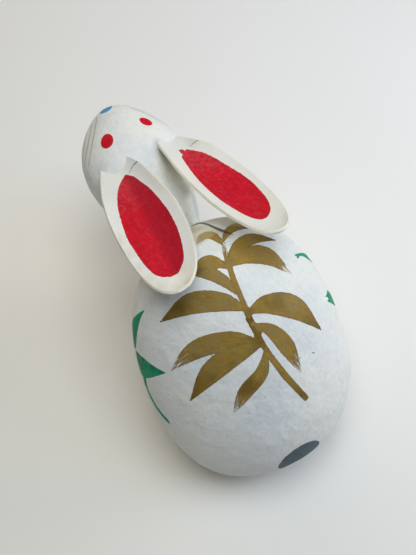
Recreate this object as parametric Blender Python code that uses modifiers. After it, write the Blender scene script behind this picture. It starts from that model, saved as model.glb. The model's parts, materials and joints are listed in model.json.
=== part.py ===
"""Papier-mache rabbit, crouching, with two long ears laid back over its shoulders.

The figure stands on z = 0 with its nose towards -Y, and +X is the rabbit's left. It is
made the way the toy is made: one pressed paper shell for body, neck and head, and two
separate paper sheets, the ears, glued to the top of the head. The shell stays a closed
solid here, since its hollow is sealed by the flat underside.
"""
import math

import bmesh
import bpy
from mathutils import Vector

# The frame: where the middle of the egg-shaped body stands
BODY_CENTRE = Vector((0.0, 0.0553, 0.0780))

# The body, an egg that leans back to front, its narrower end up and forward
BODY_HALF_WIDTH = 0.0731
BODY_HALF_LENGTH = 0.0940
BODY_HALF_DEPTH = 0.0581
BODY_LEAN = math.radians(49.7)
BODY_SQUARENESS = 2.46
BODY_TAPER = 0.07
EGG_OFFSET = Vector((0.0, 0.0015, 0.0025))

# The head and neck, one rounded form that runs from the nose back and down into the
# chest. Each station: the share of the way from the nose, then y and z of its middle
# from the body's centre, its half width, its height above and below, and how full the
# crown is, from 2 for a round one
NECK_STATIONS = (
    (0.00, -0.1928, 0.0443, 0.0245, 0.0312, 0.0240, 1.60),
    (0.16, -0.1693, 0.0431, 0.0352, 0.0349, 0.0320, 1.62),
    (0.33, -0.1434, 0.0340, 0.0385, 0.0395, 0.0360, 2.78),
    (0.50, -0.1207, 0.0209, 0.0312, 0.0402, 0.0370, 2.15),
    (0.68, -0.1000, -0.0040, 0.0261, 0.0349, 0.0360, 2.29),
    (0.84, -0.0840, -0.0340, 0.0236, 0.0299, 0.0340, 1.99),
    (1.00, -0.0720, -0.0660, 0.0240, 0.0300, 0.0300, 2.00),
)
NOSE_BLUNTNESS = 14.1
NECK_END_BLUNTNESS = 8.0
ROUND = 2.0

# The chest and forefeet, a low mound that carries the head and lies flat on the ground
CHEST_MIDDLE = Vector((0.0, -0.0460, -0.0400))
CHEST_HALF_SIZE = Vector((0.0400, 0.0660, 0.0460))
CHEST_FULLNESS = 2.3

# The ears, both cut to the same leaf shape, one a little narrower
EAR_LENGTH = 0.1263
EAR_THICKNESS = 0.0018
EAR_WIDEST_AT = 0.473
EAR_ROOT_SHARE = 0.436
EAR_SWELL = 0.785
EAR_TIP_ROUNDNESS = 2.27
EAR_ROOT_INSIDE_HEAD = 0.012
EAR_ROOT_HOLLOW = 0.45
EAR_TIP_HOLLOW = 0.28
EAR_TWIST_SHARE = 0.45
EAR_PRESSED_SHARE = 0.35
EAR_TUCKED_SHARE = 0.52

# How each ear is set on the head. root is measured from the body's centre, on the
# rabbit's own side; twist turns the root more than the rest, arch lifts the middle of the
# ear, bend bows it outwards, pressed is how far its root is bent down, and tuck draws its
# inner edge in. seat glues the root to the head: at the inner edge, the middle and the
# outer edge, the share of the ear where it leaves the head and how far it is pulled there,
# and seat_reach is the share over which that pull fades. Angles are in degrees
EARS = {
    "ear_left": {
        "side": 1,
        "half_width": 0.0218,
        "root": (0.0205, -0.1336, 0.0775),
        "spread": 8.2,
        "lift": 14.3,
        "roll": -7.0,
        "twist": 0.9,
        "arch": -0.0007,
        "bend": -0.0015,
        "pressed": (-0.0014, -0.0024, -0.0055),
        "tuck": 0.0016,
        "seat": (
            (-0.010, 0.0005, -0.0003, -0.0015),
            (0.052, 0.0000, -0.0023, -0.0034),
            (0.030, -0.0027, -0.0072, -0.0104),
        ),
        "seat_reach": 0.25,
    },
    "ear_right": {
        "side": -1,
        "half_width": 0.0208,
        "root": (0.0226, -0.1338, 0.0768),
        "spread": 3.9,
        "lift": 17.6,
        "roll": -14.9,
        "twist": 11.2,
        "arch": -0.0060,
        "bend": 0.0061,
        "pressed": (0.0014, -0.0024, -0.0055),
        "tuck": 0.0004,
        "seat": (
            (-0.004, -0.0007, 0.0000, -0.0017),
            (0.012, -0.0028, -0.0019, -0.0006),
            (0.048, -0.0054, -0.0113, -0.0135),
        ),
        "seat_reach": 0.17,
    },
}

# How fine the solids are
SHELL_VOXEL = 0.0070
SHELL_SMOOTHING = 4
EAR_COLUMNS = 10
EAR_ROWS = 26
MERGE = 0.00005

# The paper of an ear stops this far from the paper of the head
GLUE_GAP = 0.0003

PAPER_WHITE = (0.80, 0.80, 0.77, 1.0)
PAPER_CREAM = (0.78, 0.75, 0.66, 1.0)


def superellipse(angle, fullness):
    """A point of a unit outline that is a circle at fullness 2 and squarer above it."""
    across = math.cos(angle)
    up = math.sin(angle)
    reach = (abs(across) ** fullness + abs(up) ** fullness) ** (-1.0 / fullness)
    return reach * across, reach * up


def smooth_station(stations, share):
    """Read a list of stations at any share, on a smooth curve through them."""
    last = len(stations) - 2
    index = max(i for i in range(last + 1) if stations[i][0] <= share or i == 0)
    start = stations[index]
    end = stations[index + 1]
    span = end[0] - start[0]
    u = (share - start[0]) / span

    def slope(i, column):
        before = stations[max(i - 1, 0)]
        after = stations[min(i + 1, last + 1)]
        return (after[column] - before[column]) / (after[0] - before[0]) * span

    values = []
    for column in range(1, len(start)):
        values.append(
            (2 * u ** 3 - 3 * u ** 2 + 1) * start[column]
            + (u ** 3 - 2 * u ** 2 + u) * slope(index, column)
            + (3 * u ** 2 - 2 * u ** 3) * end[column]
            + (u ** 3 - u ** 2) * slope(index + 1, column)
        )
    return values


def body_point(direction):
    """Where a direction from the middle of a ball lands on the egg-shaped body."""
    along = max(-1.0, min(1.0, direction.z))
    around = math.atan2(direction.y, direction.x)
    ring = math.sqrt(1.0 - along * along)
    length = math.copysign(abs(along) ** (2.0 / BODY_SQUARENESS), along)
    girth = ring ** (2.0 / BODY_SQUARENESS) * (1.0 - BODY_TAPER * length)
    long_axis = Vector((0.0, -math.cos(BODY_LEAN), math.sin(BODY_LEAN)))
    deep_axis = Vector((0.0, math.sin(BODY_LEAN), math.cos(BODY_LEAN)))
    sideways = Vector((girth * BODY_HALF_WIDTH * math.cos(around), 0.0, 0.0))
    lengthways = long_axis * BODY_HALF_LENGTH * length
    deepways = deep_axis * girth * BODY_HALF_DEPTH * math.sin(around)
    return BODY_CENTRE + EGG_OFFSET + sideways + lengthways + deepways


def neck_point(direction):
    """Where a direction from the middle of a ball lands on the head and neck."""
    share = (1.0 - max(-1.0, min(1.0, direction.z))) / 2.0
    around = math.atan2(direction.y, direction.x)
    y, z, half_width, above, below, crown = smooth_station(NECK_STATIONS, share)
    ahead = smooth_station(NECK_STATIONS, min(share + 0.01, 1.0))
    behind = smooth_station(NECK_STATIONS, max(share - 0.01, 0.0))
    path = Vector((0.0, ahead[0] - behind[0], ahead[1] - behind[1])).normalized()
    upright = Vector((1.0, 0.0, 0.0)).cross(path)
    rounding = math.sqrt(max(0.0, 1.0 - (1.0 - share) ** NOSE_BLUNTNESS))
    rounding *= math.sqrt(max(0.0, 1.0 - share ** NECK_END_BLUNTNESS))
    upper = math.sin(around) > 0.0
    across, up = superellipse(around, crown if upper else ROUND)
    height = above if upper else below
    centre = BODY_CENTRE + Vector((0.0, y, z))
    sideways = Vector((rounding * half_width * across, 0.0, 0.0))
    return centre + sideways + upright * rounding * height * up


def chest_point(direction):
    """Where a direction from the middle of a ball lands on the chest and forefeet."""
    point = CHEST_MIDDLE.copy()
    for i, part in enumerate(direction):
        point[i] += math.copysign(abs(part) ** (2.0 / CHEST_FULLNESS), part) * CHEST_HALF_SIZE[i]
    return BODY_CENTRE + point


def ear_half_width(ear, share):
    """Half the width of an ear, from its root at 0 to its round tip at 1."""
    if share < EAR_WIDEST_AT:
        rise = math.sin(math.pi / 2.0 * max(share, 0.0) / EAR_WIDEST_AT) ** EAR_SWELL
        return ear["half_width"] * (EAR_ROOT_SHARE + (1.0 - EAR_ROOT_SHARE) * rise)
    rest = min(1.0, (share - EAR_WIDEST_AT) / (1.0 - EAR_WIDEST_AT))
    return ear["half_width"] * (1.0 - rest ** EAR_TIP_ROUNDNESS) ** (1.0 / EAR_TIP_ROUNDNESS)


def seat_pull(ear, share, v):
    """How far the glued root is pulled towards the head at a place of the ear."""
    inner, middle, outer = (Vector(place) for place in ear["seat"])
    seat = middle + (outer - inner) * v / 2.0 + ((outer + inner) / 2.0 - middle) * v * v
    fade = 1.0 - (share - seat[0]) / ear["seat_reach"]
    return Vector(seat[1:]) * max(0.0, min(1.0, fade)) ** 2


def ear_point(ear, share, across):
    """A point on the hollow side of an ear; across runs from -1 to 1."""
    spread = math.radians(ear["spread"])
    lift = math.radians(ear["lift"])
    axis = Vector((
        math.sin(spread) * math.cos(lift),
        math.cos(spread) * math.cos(lift),
        math.sin(lift),
    ))
    level = axis.cross(Vector((0.0, 0.0, 1.0))).normalized()
    twist = ear["twist"] * max(0.0, 1.0 - share / EAR_TWIST_SHARE) ** 2
    roll = math.radians(ear["roll"] + twist)
    wide = math.cos(roll) * level + math.sin(roll) * level.cross(axis)
    outward = wide.cross(axis)
    half_width = ear_half_width(ear, share)
    fade = max(0.0, min(1.0, share / 0.5))
    hollow = EAR_ROOT_HOLLOW + (EAR_TIP_HOLLOW - EAR_ROOT_HOLLOW) * fade
    bow = 4.0 * share * (1.0 - share)
    v = across * ear["side"]
    point = Vector(ear["root"]) + share * EAR_LENGTH * axis
    point += half_width * v * wide + hollow * half_width * (v * v - 1.0) * outward
    point += bow * (ear["arch"] * outward + ear["bend"] * wide)
    point += Vector(ear["pressed"]) * max(0.0, 1.0 - share / EAR_PRESSED_SHARE) ** 2
    tucked = math.sin(math.pi * max(0.0, min(1.0, share / EAR_TUCKED_SHARE))) ** 2
    point += ear["tuck"] * tucked * max(0.0, -v) ** 2 * wide
    point += seat_pull(ear, share, v)
    point.x *= ear["side"]
    return BODY_CENTRE + point


def new_collection(name):
    collection = bpy.data.collections.new(name)
    bpy.context.scene.collection.children.link(collection)
    return collection


def new_object(name, bm, collection, material=None):
    """Turn a bmesh into a smooth-shaded object of a collection."""
    mesh = bpy.data.meshes.new(name)
    bm.to_mesh(mesh)
    bm.free()
    mesh.shade_smooth()
    if material:
        mesh.materials.append(material)
    obj = bpy.data.objects.new(name, mesh)
    collection.objects.link(obj)
    return obj


def make_guide(obj):
    obj.hide_render = True
    obj.display_type = "WIRE"


def paper_material(name, colour, roughness):
    material = bpy.data.materials.new(name)
    material.use_nodes = True
    shader = material.node_tree.nodes["Principled BSDF"]
    shader.inputs["Base Color"].default_value = colour
    shader.inputs["Roughness"].default_value = roughness
    shader.inputs["Metallic"].default_value = 0.0
    return material


def reshaped_ball(segments, rings, place):
    """A unit ball whose every point is moved by a function of its direction."""
    bm = bmesh.new()
    bmesh.ops.create_uvsphere(bm, u_segments=segments, v_segments=rings, radius=1.0)
    for vertex in bm.verts:
        vertex.co = place(vertex.co.normalized())
    bmesh.ops.recalc_face_normals(bm, faces=bm.faces)
    return bm


def add_boolean(obj, name, operation, other):
    boolean = obj.modifiers.new(name, "BOOLEAN")
    boolean.operation = operation
    boolean.solver = "EXACT"
    boolean.object = other


def press_shell(obj, joined, floor):
    """Join the forms, soften the joints as pressed paper does, and cut the base flat."""
    for form in joined:
        add_boolean(obj, "join_" + form.name, "UNION", form)
    remesh = obj.modifiers.new("pressed_paper", "REMESH")
    remesh.mode = "VOXEL"
    remesh.voxel_size = SHELL_VOXEL
    remesh.use_smooth_shade = True
    smooth = obj.modifiers.new("soft_joint", "SMOOTH")
    smooth.factor = 0.5
    smooth.iterations = SHELL_SMOOTHING
    add_boolean(obj, "flat_underside", "DIFFERENCE", floor)


def make_floor_cutter(collection):
    """A block whose top is the surface that the figure stands on."""
    bm = bmesh.new()
    bmesh.ops.create_cube(bm, size=1.0)
    for vertex in bm.verts:
        vertex.co.z -= 0.5
    obj = new_object("floor_cutter", bm, collection)
    make_guide(obj)
    return obj


def make_ear(name, ear, collection, material, head):
    """A sheet of paper in the shape of the ear, stopped just short of the head."""
    bm = bmesh.new()
    bmesh.ops.create_grid(bm, x_segments=EAR_COLUMNS, y_segments=EAR_ROWS, size=1.0)
    for vertex in bm.verts:
        way = (1.0 - math.cos(math.pi * (vertex.co.y + 1.0) / 2.0)) / 2.0
        share = way * (1.0 + EAR_ROOT_INSIDE_HEAD) - EAR_ROOT_INSIDE_HEAD
        vertex.co = ear_point(ear, share, vertex.co.x)
    bmesh.ops.remove_doubles(bm, verts=bm.verts, dist=MERGE)
    obj = new_object(name, bm, collection, material)
    sheet = obj.modifiers.new("paper_thickness", "SOLIDIFY")
    sheet.thickness = EAR_THICKNESS
    sheet.offset = -1.0
    add_boolean(obj, "stop_at_head", "DIFFERENCE", head)
    return obj


def main():
    for obj in list(bpy.data.objects):
        bpy.data.objects.remove(obj, do_unlink=True)
    rabbit = new_collection("papier_mache_rabbit")
    cutters = new_collection("cutters")
    white = paper_material("white_painted_paper", PAPER_WHITE, 0.6)
    cream = paper_material("cream_painted_paper", PAPER_CREAM, 0.6)

    neck = new_object("neck", reshaped_ball(48, 40, neck_point), cutters)
    chest = new_object("chest", reshaped_ball(48, 32, chest_point), cutters)
    for form in (neck, chest):
        make_guide(form)
    floor = make_floor_cutter(cutters)
    shell = new_object("body_shell", reshaped_ball(64, 40, body_point), rabbit, white)
    press_shell(shell, (neck, chest), floor)

    seat = new_object("ear_seat", reshaped_ball(64, 40, body_point), cutters)
    press_shell(seat, (neck, chest), floor)
    spacing = seat.modifiers.new("glue_gap", "DISPLACE")
    spacing.strength = GLUE_GAP
    spacing.mid_level = 0.0
    make_guide(seat)

    for name, ear in EARS.items():
        make_ear(name, ear, rabbit, cream, seat)


main()
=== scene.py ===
# %% [markdown]
# A papier-mache rabbit, dressed for its portrait
#
# The real toy is paper pasted over a mould in layers, dried, given a coat of chalk and glue,
# and painted with a soft brush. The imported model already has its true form. This lesson
# gives it the skin: a smooth shell that still looks hand-made, two bent paper ears, and paint
# that lies on the surface as brush strokes do.

# %% Load the fixed frame
import json
import math

import bmesh
import bpy
import numpy as np
from mathutils import Matrix, Vector, noise
from mathutils.bvhtree import BVHTree

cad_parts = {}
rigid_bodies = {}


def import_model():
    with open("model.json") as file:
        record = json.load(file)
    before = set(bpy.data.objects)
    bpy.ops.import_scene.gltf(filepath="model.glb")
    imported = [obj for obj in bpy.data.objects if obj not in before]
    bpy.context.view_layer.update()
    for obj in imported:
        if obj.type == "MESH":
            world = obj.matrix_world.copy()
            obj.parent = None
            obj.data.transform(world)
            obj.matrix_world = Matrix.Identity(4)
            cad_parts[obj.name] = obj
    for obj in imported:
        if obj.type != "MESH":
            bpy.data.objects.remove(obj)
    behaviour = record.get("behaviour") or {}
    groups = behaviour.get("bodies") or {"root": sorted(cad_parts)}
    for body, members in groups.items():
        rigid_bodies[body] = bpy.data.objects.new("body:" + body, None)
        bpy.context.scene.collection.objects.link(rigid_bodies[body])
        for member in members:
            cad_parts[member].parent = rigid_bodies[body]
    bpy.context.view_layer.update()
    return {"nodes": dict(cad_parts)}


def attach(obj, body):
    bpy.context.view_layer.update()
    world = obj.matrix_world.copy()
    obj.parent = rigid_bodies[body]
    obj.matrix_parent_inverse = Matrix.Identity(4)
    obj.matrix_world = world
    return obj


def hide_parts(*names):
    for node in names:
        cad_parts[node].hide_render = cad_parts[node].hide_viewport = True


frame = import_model()
MM = 0.001

# %% [markdown]
# Two small helpers carry every material. One turns the hex value that a colour picker shows
# into the linear light that Blender mixes. The other adds a node, sets it and wires it, so
# that a material reads as a list of steps.

# %% Colours and nodes
MATH, MIX, RANGE, NOISE = "ShaderNodeMath", "ShaderNodeMix", "ShaderNodeMapRange", "ShaderNodeTexNoise"
RAMP, ATTRIBUTE, COORDINATES = "ShaderNodeValToRGB", "ShaderNodeAttribute", "ShaderNodeTexCoord"


def linear(hex_value):
    """An sRGB hex value such as "c8202f" as linear red, green, blue and alpha."""
    parts = [int(hex_value[i:i + 2], 16) / 255.0 for i in (0, 2, 4)]
    return tuple(p / 12.92 if p <= 0.04045 else ((p + 0.055) / 1.055) ** 2.4 for p in parts) + (1.0,)


def add(tree, kind, inputs=(), stops=(), **settings):
    """Add a node. Its inputs, by name or in order, are values, hex colours, sockets or nodes."""
    node = tree.nodes.new(kind)
    for name, value in settings.items():
        setattr(node, name, value)
    for i, (position, colour) in enumerate(stops):
        stop = node.color_ramp.elements[i] if i < 2 else node.color_ramp.elements.new(position)
        stop.position = position
        stop.color = linear(colour)
    for name, value in inputs.items() if isinstance(inputs, dict) else enumerate(inputs):
        socket = node.inputs[name]
        if isinstance(value, bpy.types.Node):
            value = next(output for output in value.outputs if output.enabled)
        if isinstance(value, bpy.types.NodeSocket):
            tree.links.new(value, socket)
        elif socket.type == "RGBA" and isinstance(value, str):
            socket.default_value = linear(value)
        else:
            socket.default_value = value
    return node


print("the picker's middle grey is", round(linear("808080")[0], 3), "of white's light")

# %% [markdown]
# The photograph looks down from behind the rabbit's left shoulder. A camera at that angle is
# set first, because the painted marks are placed by where the photograph shows them: a line
# from the lens through a pixel of the picture meets the toy where the brush did.

# %% The camera
BODY_CENTRE = Vector((0.0, 0.0553, 0.0780))
AIM = BODY_CENTRE + Vector((-12.0, -64.1, -13.7)) * MM
AZIMUTH = math.radians(31.0)
ELEVATION = math.radians(63.0)
DISTANCE = 0.600
PHOTO_SIZE = (416, 555)
FOCAL_PIXELS = 800.0
SENSOR_MM = 36.0


def direction(around, up):
    """The way that two angles give: how far round from straight behind, and how far up."""
    return Vector((math.sin(around) * math.cos(up), math.cos(around) * math.cos(up), math.sin(up)))


def in_scene(name, data):
    """Put data into the scene as a new object."""
    obj = bpy.data.objects.new(name, data)
    bpy.context.scene.collection.objects.link(obj)
    return obj


toward_lens = direction(AZIMUTH, ELEVATION)
lens_place = AIM + toward_lens * DISTANCE
picture_right = Vector((-math.cos(AZIMUTH), math.sin(AZIMUTH), 0.0))
picture_up = toward_lens.cross(picture_right)

camera_data = bpy.data.cameras.new("camera")
camera_data.sensor_width = SENSOR_MM
camera_data.lens = FOCAL_PIXELS * SENSOR_MM / max(PHOTO_SIZE)
camera = in_scene("camera", camera_data)
turn = Matrix((picture_right, picture_up, toward_lens)).transposed().to_4x4()
camera.matrix_world = Matrix.Translation(lens_place) @ turn
bpy.context.scene.camera = camera
print("lens of", round(camera_data.lens, 1), "mm")


# %% From a pixel of the photograph to the toy
EDGE_TRIES = 6


def pixel_ray(x, y):
    """Which way the lens looks through a pixel of the photograph."""
    across = (x - PHOTO_SIZE[0] / 2) / FOCAL_PIXELS
    up = (PHOTO_SIZE[1] / 2 - y) / FOCAL_PIXELS
    return (picture_right * across + picture_up * up - toward_lens).normalized()


def spot(surface, x, y):
    """The point of a surface that a pixel shows, or the nearest one just inside its edge."""
    way = pixel_ray(x, y)
    place = surface.ray_cast(lens_place, way)[0]
    if place is not None:
        return place
    nearest = surface.find_nearest(lens_place + way * DISTANCE)[0]
    for _ in range(EDGE_TRIES):
        nearest = surface.find_nearest(lens_place + way * (nearest - lens_place).dot(way))[0]
    return nearest


print("the middle pixel looks along", pixel_ray(PHOTO_SIZE[0] / 2, PHOTO_SIZE[1] / 2))

# %% [markdown]
# The shell. Paper pulled over a mould has no facets and no sharp creases, but it is never quite
# even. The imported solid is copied, its loose triangles are merged, and a voxel remesh gives
# it even small faces. Smoothing then melts the facets away, and a slow, shallow noise brings
# back the thick and thin places of pasted paper.

# %% The pressed paper shell
SHELL_FACE = 1.6 * MM
SHELL_SMOOTHING = 40
PAPER_WAVE = 0.45 * MM
PAPER_WAVE_LENGTH = 34.0 * MM
PASTE_RIPPLE = 0.16 * MM
PASTE_RIPPLE_LENGTH = 9.0 * MM
RIPPLE_SHIFT = Vector((7.0, 3.0, 1.0))
# The underside stays flat: the waves grow from the table up to this height
WAVES_FROM = 6.0 * MM
SAME_CORNER = 0.001 * MM


def merged_copy(node, name):
    """A CAD node's mesh as a new object whose triangles share their corners."""
    bm = bmesh.new()
    bm.from_mesh(frame["nodes"][node].data)
    bmesh.ops.remove_doubles(bm, verts=bm.verts, dist=SAME_CORNER)
    mesh = bpy.data.meshes.new(name)
    bm.to_mesh(mesh)
    bm.free()
    return in_scene(name, mesh)


def bake_modifiers(obj):
    """Replace an object's mesh by what its modifiers make of it."""
    graph = bpy.context.evaluated_depsgraph_get()
    mesh = bpy.data.meshes.new_from_object(obj.evaluated_get(graph))
    obj.modifiers.clear()
    obj.data = mesh
    mesh.name = obj.name


def unevenness(place):
    """How far hand-pasted paper stands off its mould at a place."""
    wave = noise.noise(place / PAPER_WAVE_LENGTH)
    ripple = noise.noise(place / PASTE_RIPPLE_LENGTH + RIPPLE_SHIFT)
    return PAPER_WAVE * wave + PASTE_RIPPLE * ripple


shell = merged_copy("body_shell", "rabbit_shell")
remesh = shell.modifiers.new("even_faces", "REMESH")
remesh.mode = "VOXEL"
remesh.voxel_size = SHELL_FACE
melt = shell.modifiers.new("melt_facets", "SMOOTH")
melt.factor = 0.5
melt.iterations = SHELL_SMOOTHING
bake_modifiers(shell)
normals = [v.normal.copy() for v in shell.data.vertices]
for vertex, normal in zip(shell.data.vertices, normals):
    above_table = min(1.0, vertex.co.z / WAVES_FROM)
    vertex.co += normal * unevenness(vertex.co) * above_table
    vertex.co.z = max(vertex.co.z, 0.0)
print("shell:", len(shell.data.vertices), "points")

# %% [markdown]
# Paint is kept as distance. For every point of the mesh we store how far it lies from the edge
# of the nearest brush stroke, below zero inside it, in millimetres. The shader then cuts
# the paint's edge wherever that distance is zero, so the edge stays crisp between mesh
# points, and a little noise added to the distance makes it ragged like a real bristle edge.

# %% Laying brush strokes on a surface
STROKE_STEPS = 26
# Shorter than this, a step counts as this long, so that nothing is divided by zero
TINY = 1e-9
# The distances in mm that a point gets where no mark is near it
FAR_OFF = 1e3
CLEAR_OF_PAINT = 4.0


def smooth_line(points, steps):
    """Places along a smooth curve through a few points, each a tuple of numbers."""
    rows = np.array(points, dtype=float)
    padded = np.vstack([2 * rows[0] - rows[1], rows, 2 * rows[-1] - rows[-2]])
    places = []
    for share in np.linspace(0.0, len(rows) - 1, steps):
        i = min(int(share), len(rows) - 2)
        u = share - i
        a, b, c, d = padded[i:i + 4]
        places.append(0.5 * (
            2 * b + (c - a) * u + (2 * a - 5 * b + 4 * c - d) * u * u
            + (3 * b - a - 3 * c + d) * u ** 3
        ))
    return np.array(places)


def trace(surface, pixels, steps=STROKE_STEPS):
    """A line on a surface through a few pixels of the photograph."""
    return np.array([spot(surface, x, y) for x, y in smooth_line(pixels, steps)])


def stroke_field(points, normals, spine, widths):
    """For each point: distance to one stroke's edge, and place along and across it, in mm."""
    radius = smooth_line([(w / 2,) for w in widths], len(spine))[:, 0]
    lengths = np.concatenate([[0.0], np.cumsum(np.linalg.norm(np.diff(spine, axis=0), axis=1))])
    best = np.full(len(points), FAR_OFF)
    along = np.zeros(len(points))
    across = np.zeros(len(points))
    for i in range(len(spine) - 1):
        step = spine[i + 1] - spine[i]
        size = max(np.linalg.norm(step), TINY)
        t = np.clip((points - spine[i]) @ step / size ** 2, 0.0, 1.0)
        off = points - (spine[i] + t[:, None] * step)
        far = np.linalg.norm(off, axis=1) / MM
        edge = far - (radius[i] + t * (radius[i + 1] - radius[i]))
        closer = edge < best
        side = np.sign(np.einsum("ij,ij->i", off, np.cross(normals, step)))
        best = np.where(closer, edge, best)
        along = np.where(closer, (lengths[i] + t * size) / MM, along)
        across = np.where(closer, side * far, across)
    return best, along, across, lengths[-1] / MM


def outline_field(places, corners):
    """Distance from each place of a plane to a closed outline, below zero inside it."""
    outline = np.array(corners, dtype=float)
    nearest = np.full(len(places), FAR_OFF)
    inside = np.zeros(len(places), dtype=bool)
    for start, end in zip(outline, np.roll(outline, -1, axis=0)):
        step = end - start
        t = np.clip((places - start) @ step / max(step @ step, TINY), 0.0, 1.0)
        nearest = np.minimum(nearest, np.linalg.norm(places - start - t[:, None] * step, axis=1))
        if start[1] != end[1]:
            crossed = (start[1] > places[:, 1]) != (end[1] > places[:, 1])
            meets = start[0] + (places[:, 1] - start[1]) / (end[1] - start[1]) * step[0]
            inside ^= crossed & (places[:, 0] < meets)
    return np.where(inside, -nearest, nearest)


def seen_at(points):
    """The pixels of the photograph where points appear, and the mm that a pixel spans there."""
    off = points - np.array(lens_place)
    depth = -off @ np.array(toward_lens)
    across = off @ np.array(picture_right) / depth * FOCAL_PIXELS + PHOTO_SIZE[0] / 2
    down = PHOTO_SIZE[1] / 2 - off @ np.array(picture_up) / depth * FOCAL_PIXELS
    return np.column_stack([across, down]), depth / FOCAL_PIXELS / MM


# The shell runs on this many mm while it turns by one radian, and a shape outlined in the
# photograph ends this many mm past the rim that the lens sees
TURN_LENGTH = 60.0
PAST_RIM = 2.0


def outlines_field(points, normals, outlines):
    """Distance to the nearest of some shapes outlined in the photograph, and cut past the rim."""
    pixels, span = seen_at(points)
    nearest = np.full(len(points), CLEAR_OF_PAINT)
    for outline in outlines:
        nearest = np.minimum(nearest, outline_field(pixels, outline) * span)
    return np.maximum(nearest, -TURN_LENGTH * (normals @ np.array(toward_lens)) - PAST_RIM)


print("each stroke is followed in", STROKE_STEPS, "steps")

# %% [markdown]
# Where the marks go. The red eyes, blue nose, grey tail patch and whiskers, the green leaf marks
# and the crack behind the neck are where the photograph has them. It shows only two tips of the
# marks on the far flank, so those are finished in the manner of the near ones. Leaves near the
# toy's outline are drawn as seen from the side, where a flat shape stays a leaf. The gold spray
# of bamboo is a plain folk motif in strokes as bold as the painter's.

# %% The face, the tail and the green leaves
# Each oval: the pixel of its middle, of one end of its length, and of one side
EYES = (
    ((106.7, 141.1), (110.3, 134.4), (101.7, 138.4)),
    ((145.9, 121.5), (152.2, 124.2), (144.5, 124.8)),
)
NOSE = (
    ((105.7, 109), (112.3, 106.2), (107, 111.7)),
)
# The tail is one round dab on the rump: its middle and its radius
TAIL_MIDDLE = Vector((1.9, 137.5, 52.6)) * MM
TAIL_RADIUS = 16.7 * MM
FLANK_FROM = 25.0 * MM
# Each stroke: the pixels it runs through, and its width in mm from start to end
GREEN_STALK = (
    (((144.4, 377), (146.2, 386), (149.3, 394), (154.6, 404.2), (161.2, 413.8), (168, 421.4)),
     (4.6, 5.8, 6, 4.8, 3.8)),
)
# Each green shape: which flank it is on, and its corners in mm, back along the toy and up it
GREEN_SHAPES = (
    (1, (
        (22.1, 137.6), (22.8, 134.8), (23.5, 129.6), (25.7, 123.8), (27.7, 119.1), (29.2, 112),
        (30, 107), (28.5, 101.5), (24.5, 99.5), (20, 101.5), (16.5, 106), (14.6, 112),
        (16, 120.2), (19.1, 130.3),
    )),
    (1, (
        (30.4, 105.2), (35.5, 109.3), (41, 112.9), (51.3, 117.3), (60.1, 119.9), (56.6, 113.3),
        (51.7, 103.2), (46.5, 94.9), (42.5, 93.2), (37, 95.5), (32.5, 99.5),
    )),
    (-1, (
        (40.3, 143.4), (41.2, 142.5), (41.8, 141.2), (42.8, 142.5), (43, 140.8), (41.2, 138.9),
        (40.7, 136.9), (40.9, 133.6), (42.2, 128), (42.8, 121), (42, 112), (41, 105),
        (39, 101), (35.6, 109), (35.4, 119), (37, 130), (38.9, 138.9),
    )),
    (-1, (
        (62.2, 113), (65.7, 115.8), (67.6, 119), (67.2, 114.3), (68.4, 113.5), (70.2, 116.5),
        (70.6, 106.4), (70, 98), (68.5, 90), (66.5, 84.5), (62.5, 82), (60.2, 88),
        (60.5, 95), (61.5, 104),
    )),
    (-1, (
        (62, 83.5), (64.2, 75), (70, 68.5), (78, 65.5), (86, 65), (86, 67.4),
        (78.5, 68.4), (72, 71.4), (67.5, 76.5), (65.8, 84.5),
    )),
)
print(len(EYES) + len(NOSE), "dabs on the face and", len(GREEN_SHAPES), "green shapes")

# %% Thin lines, dust, wear and painted shade
# The crack behind the neck: its widths are pixels too, as it is seen almost along the surface
SHOULDER_CRACK = (
    (((191, 226.4), (199, 223.2), (206.5, 224.2), (215, 227.8), (225, 231.8), (233, 234.4)),
     (0.7, 1.3, 1.8, 2.5, 2.5, 0.6)),
)
# The others' widths are mm, as the stalk's are
WHISKERS = tuple((pixels, (1, 1.7, 1.6, 1)) for pixels in (
    ((97, 116.5), (94.6, 131), (91.6, 147), (88.4, 167)),
    ((92, 124), (89.6, 136), (87, 150), (84.4, 167)),
    ((86.8, 133), (85.2, 140), (83.6, 150), (82.6, 161)),
))
SPECKS = (
    (((312.3, 352.6), (315, 353.2)), (1, 0.5)),
    (((299.4, 357.8), (300.6, 358.2)), (0.8, 0.6)),
    (((264.6, 396.8), (265.4, 397.2)), (0.7, 0.5)),
    (((248.6, 412.8), (249.2, 413.4)), (0.5, 0.5)),
)
# Painted shade, with some grime: down the nape under the right ear, at the neck's foot and by the crack
PAINTED_SHADE_AND_GRIME = (
    (((161, 151), (166, 162), (174, 175), (185, 190)), (4, 8, 10, 10)),
    (((186, 217), (189, 222), (194, 226)), (2, 3, 2)),
    (((189, 227), (193, 231), (198, 229.5)), (3.5, 4, 3)),
    (((217, 231), (223, 233.5), (229, 236)), (2.5, 3.5, 2)),
)
# Painted shade down the neck between the ears, where the right ear keeps the light off
NECK_PAINTED_SHADE = (
    (((165, 176), (174, 190), (184, 204), (191, 217)), (8, 10, 11, 9)),
    (((190, 190), (194.5, 202), (197.5, 216)), (5, 7, 7)),
)
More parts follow.
